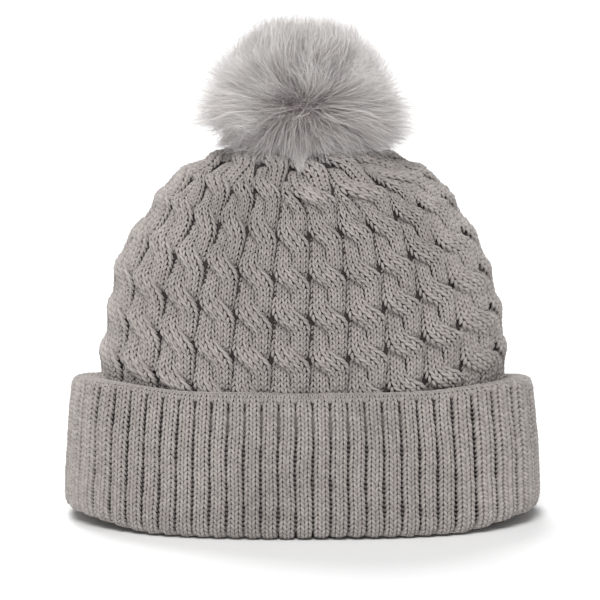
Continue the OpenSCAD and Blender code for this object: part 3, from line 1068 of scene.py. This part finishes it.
def pom_core():
    """The pile's backing, drawn together at its neck, and the wadding inside it."""
    neck = 8.0

    def gathered(way):
        x, y, z = way.T
        pleat = 1 + 0.035 * smooth((-z - 0.55) / 0.4) * np.cos(18 * np.arctan2(y, x))
        point = core_surface(way)
        point[:, :2] *= pleat[:, None]
        reach = np.hypot(point[:, 0], point[:, 1])
        open_neck = (z < -0.8) & (reach < neck)
        point[open_neck, :2] *= (neck / np.maximum(reach[open_neck], 0.01))[:, None]
        point[open_neck, 2] += 1.2
        return point

    def lumpy(way):
        x, y, z = way.T
        lumps = 1 + 0.02 * waves(x * 50, y * 50 + z * 30, 9, (9, 14, 21))
        return CORE_MIDDLE + (core_surface(way) - CORE_MIDDLE) * (0.9 * lumps)[:, None]

    cover = ball("pom_backing", gathered, 40, 108, ("pom", "fur_backing", BACKING))
    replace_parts(cover, "pom_cover")
    filling = ball("pom_wadding", lumpy, 48, 72, ("pom", "wadding", WADDING))
    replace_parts(filling, "pom_filling")


def felt_disc():
    """The felt disc between the snap and the pom, with a soft cut edge."""
    low, high = node_box("pom_base")
    radius, middle, half = high[0], (low[2] + high[2]) / 2, (high[2] - low[2]) / 2
    flat = (2.3, 5, 9, radius - 1.2)  # from the hole for the snap's rivet outwards
    edge = np.linspace(-math.pi / 2, math.pi / 2, 9)
    profile = [(r, -half) for r in flat]
    profile += [(radius - 0.6 + 0.6 * math.cos(t), half * math.sin(t)) for t in edge]
    profile += [(r, half) for r in flat[::-1]] + [(flat[0], -half)]
    turn = np.linspace(0, TAU, 96, endpoint=False)
    points = []
    for i, (r, z) in enumerate(profile):
        r = r * (1 + 0.004 * np.sin(turn * 31 + i) + 0.003 * np.sin(turn * 53 + 2 * i))
        points.append(np.stack([r * np.cos(turn), r * np.sin(turn), 0 * turn + middle + z], -1))
    made = grid_piece("felt_base", np.array([points]), ("pom_mount", "felt", FELT))
    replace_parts(made, "pom_base")


def care_label():
    """A blank ribbon folded in half and sewn in by its two ends."""
    low, high = node_box("care_label")
    loop = 0.3  # radius of its fold
    middle = (low[1] + high[1]) / 2
    straight = np.linspace(high[2], low[2] + loop + 0.1, 30)
    bend = np.linspace(0, math.pi, 12)[1:-1]
    side = np.concatenate([
        np.stack([np.full(30, middle - loop), straight], -1),
        np.stack([middle - loop * np.cos(bend), straight[-1] - loop * np.sin(bend)], -1),
        np.stack([np.full(30, middle + loop), straight[::-1]], -1),
    ])
    across = np.linspace(low[0], high[0], 13)
    points = np.stack([np.column_stack([np.full(len(side), x), side]) for x in across], 1)
    made = grid_piece("label_ribbon", points[None], ("label", "label_ribbon", RIBBON), closed=False)
    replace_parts(made, "care_label")


def snap_finish():
    """The snap's own metal, on the CAD pieces."""
    for name in ("snap_post", "snap_stud", "snap_socket", "snap_cap", "snap_spring"):
        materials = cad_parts[name].data.materials
        materials.clear()
        materials.append(SPRING_WIRE if name == "snap_spring" else SNAP_METAL)


# ---- floor, light and camera
def stage():
    """The floor that the cuff's fold stands on: it stays under the fold when the cuff is turned down."""
    made, tree, shader = new_material("studio_floor")
    tone = ramp(tree, noise(tree, 3.0), [(0.3, (0.86, 0.86, 0.86)), (0.7, (0.88, 0.88, 0.88))])
    plug(tree, shader, {"Base Color": tone, "Roughness": 0.9})
    mesh = bpy.data.meshes.new("floor")
    reach = 12.0
    corners = [(-reach, -reach, 0), (reach, -reach, 0), (reach, reach, 0), (-reach, reach, 0)]
    mesh.from_pydata(corners, [], [(0, 1, 2, 3)])
    mesh.materials.append(made)
    floor = in_scene("floor", mesh)
    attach(floor, "cuff")


def sun(name, energy, spread, towards):
    """One broad soft light, by where it shines."""
    lamp = bpy.data.lights.new(name, "SUN")
    lamp.energy = energy
    lamp.angle = math.radians(spread)
    made = in_scene(name, lamp)
    made.rotation_mode = "QUATERNION"
    made.rotation_quaternion = Vector(towards).to_track_quat("-Z", "Y")


def lights():
    world = bpy.data.worlds.new("studio")
    world.use_nodes = True
    tree = world.node_tree
    way = node(tree, "TexCoord").outputs["Generated"]
    height = node(tree, "SeparateXYZ", {0: way}).outputs[2]
    sky = ramp(tree, height, [(0.1, (1, 1, 1)), (0.24, (0.36, 0.36, 0.36))])
    plug(tree, tree.nodes["Background"], {0: sky})
    SCENE.world = world
    sun("front_softbox", 2.4, 30, (0.10, 0.64, -0.76))
    sun("overhead_softbox", 1.9, 24, (0.16, -0.48, -0.86))


def camera():
    """A long lens that looks a little down at the hat's middle, as in the photo."""
    distance, height, lift = 1.5, 0.106, math.radians(8.5)
    lens = bpy.data.cameras.new("camera")
    lens.lens = 180 / 0.98
    lens.sensor_width = 36
    made = in_scene("camera", lens)
    made.location = (-0.0012, -distance * math.cos(lift), height + distance * math.sin(lift))
    made.rotation_euler = (math.pi / 2 - lift, 0, 0)
    SCENE.camera = made


# ---- the hat, piece by piece
knit_crown()
crown_skins()
knit_cuff()
cuff_skins()
knit_band()
band_skins()
grow_fur()
underfur()
threads()
back_seam()
pom_core()
felt_disc()
care_label()
snap_finish()

stage()
lights()
camera()
SCENE.view_settings.view_transform = "Standard"
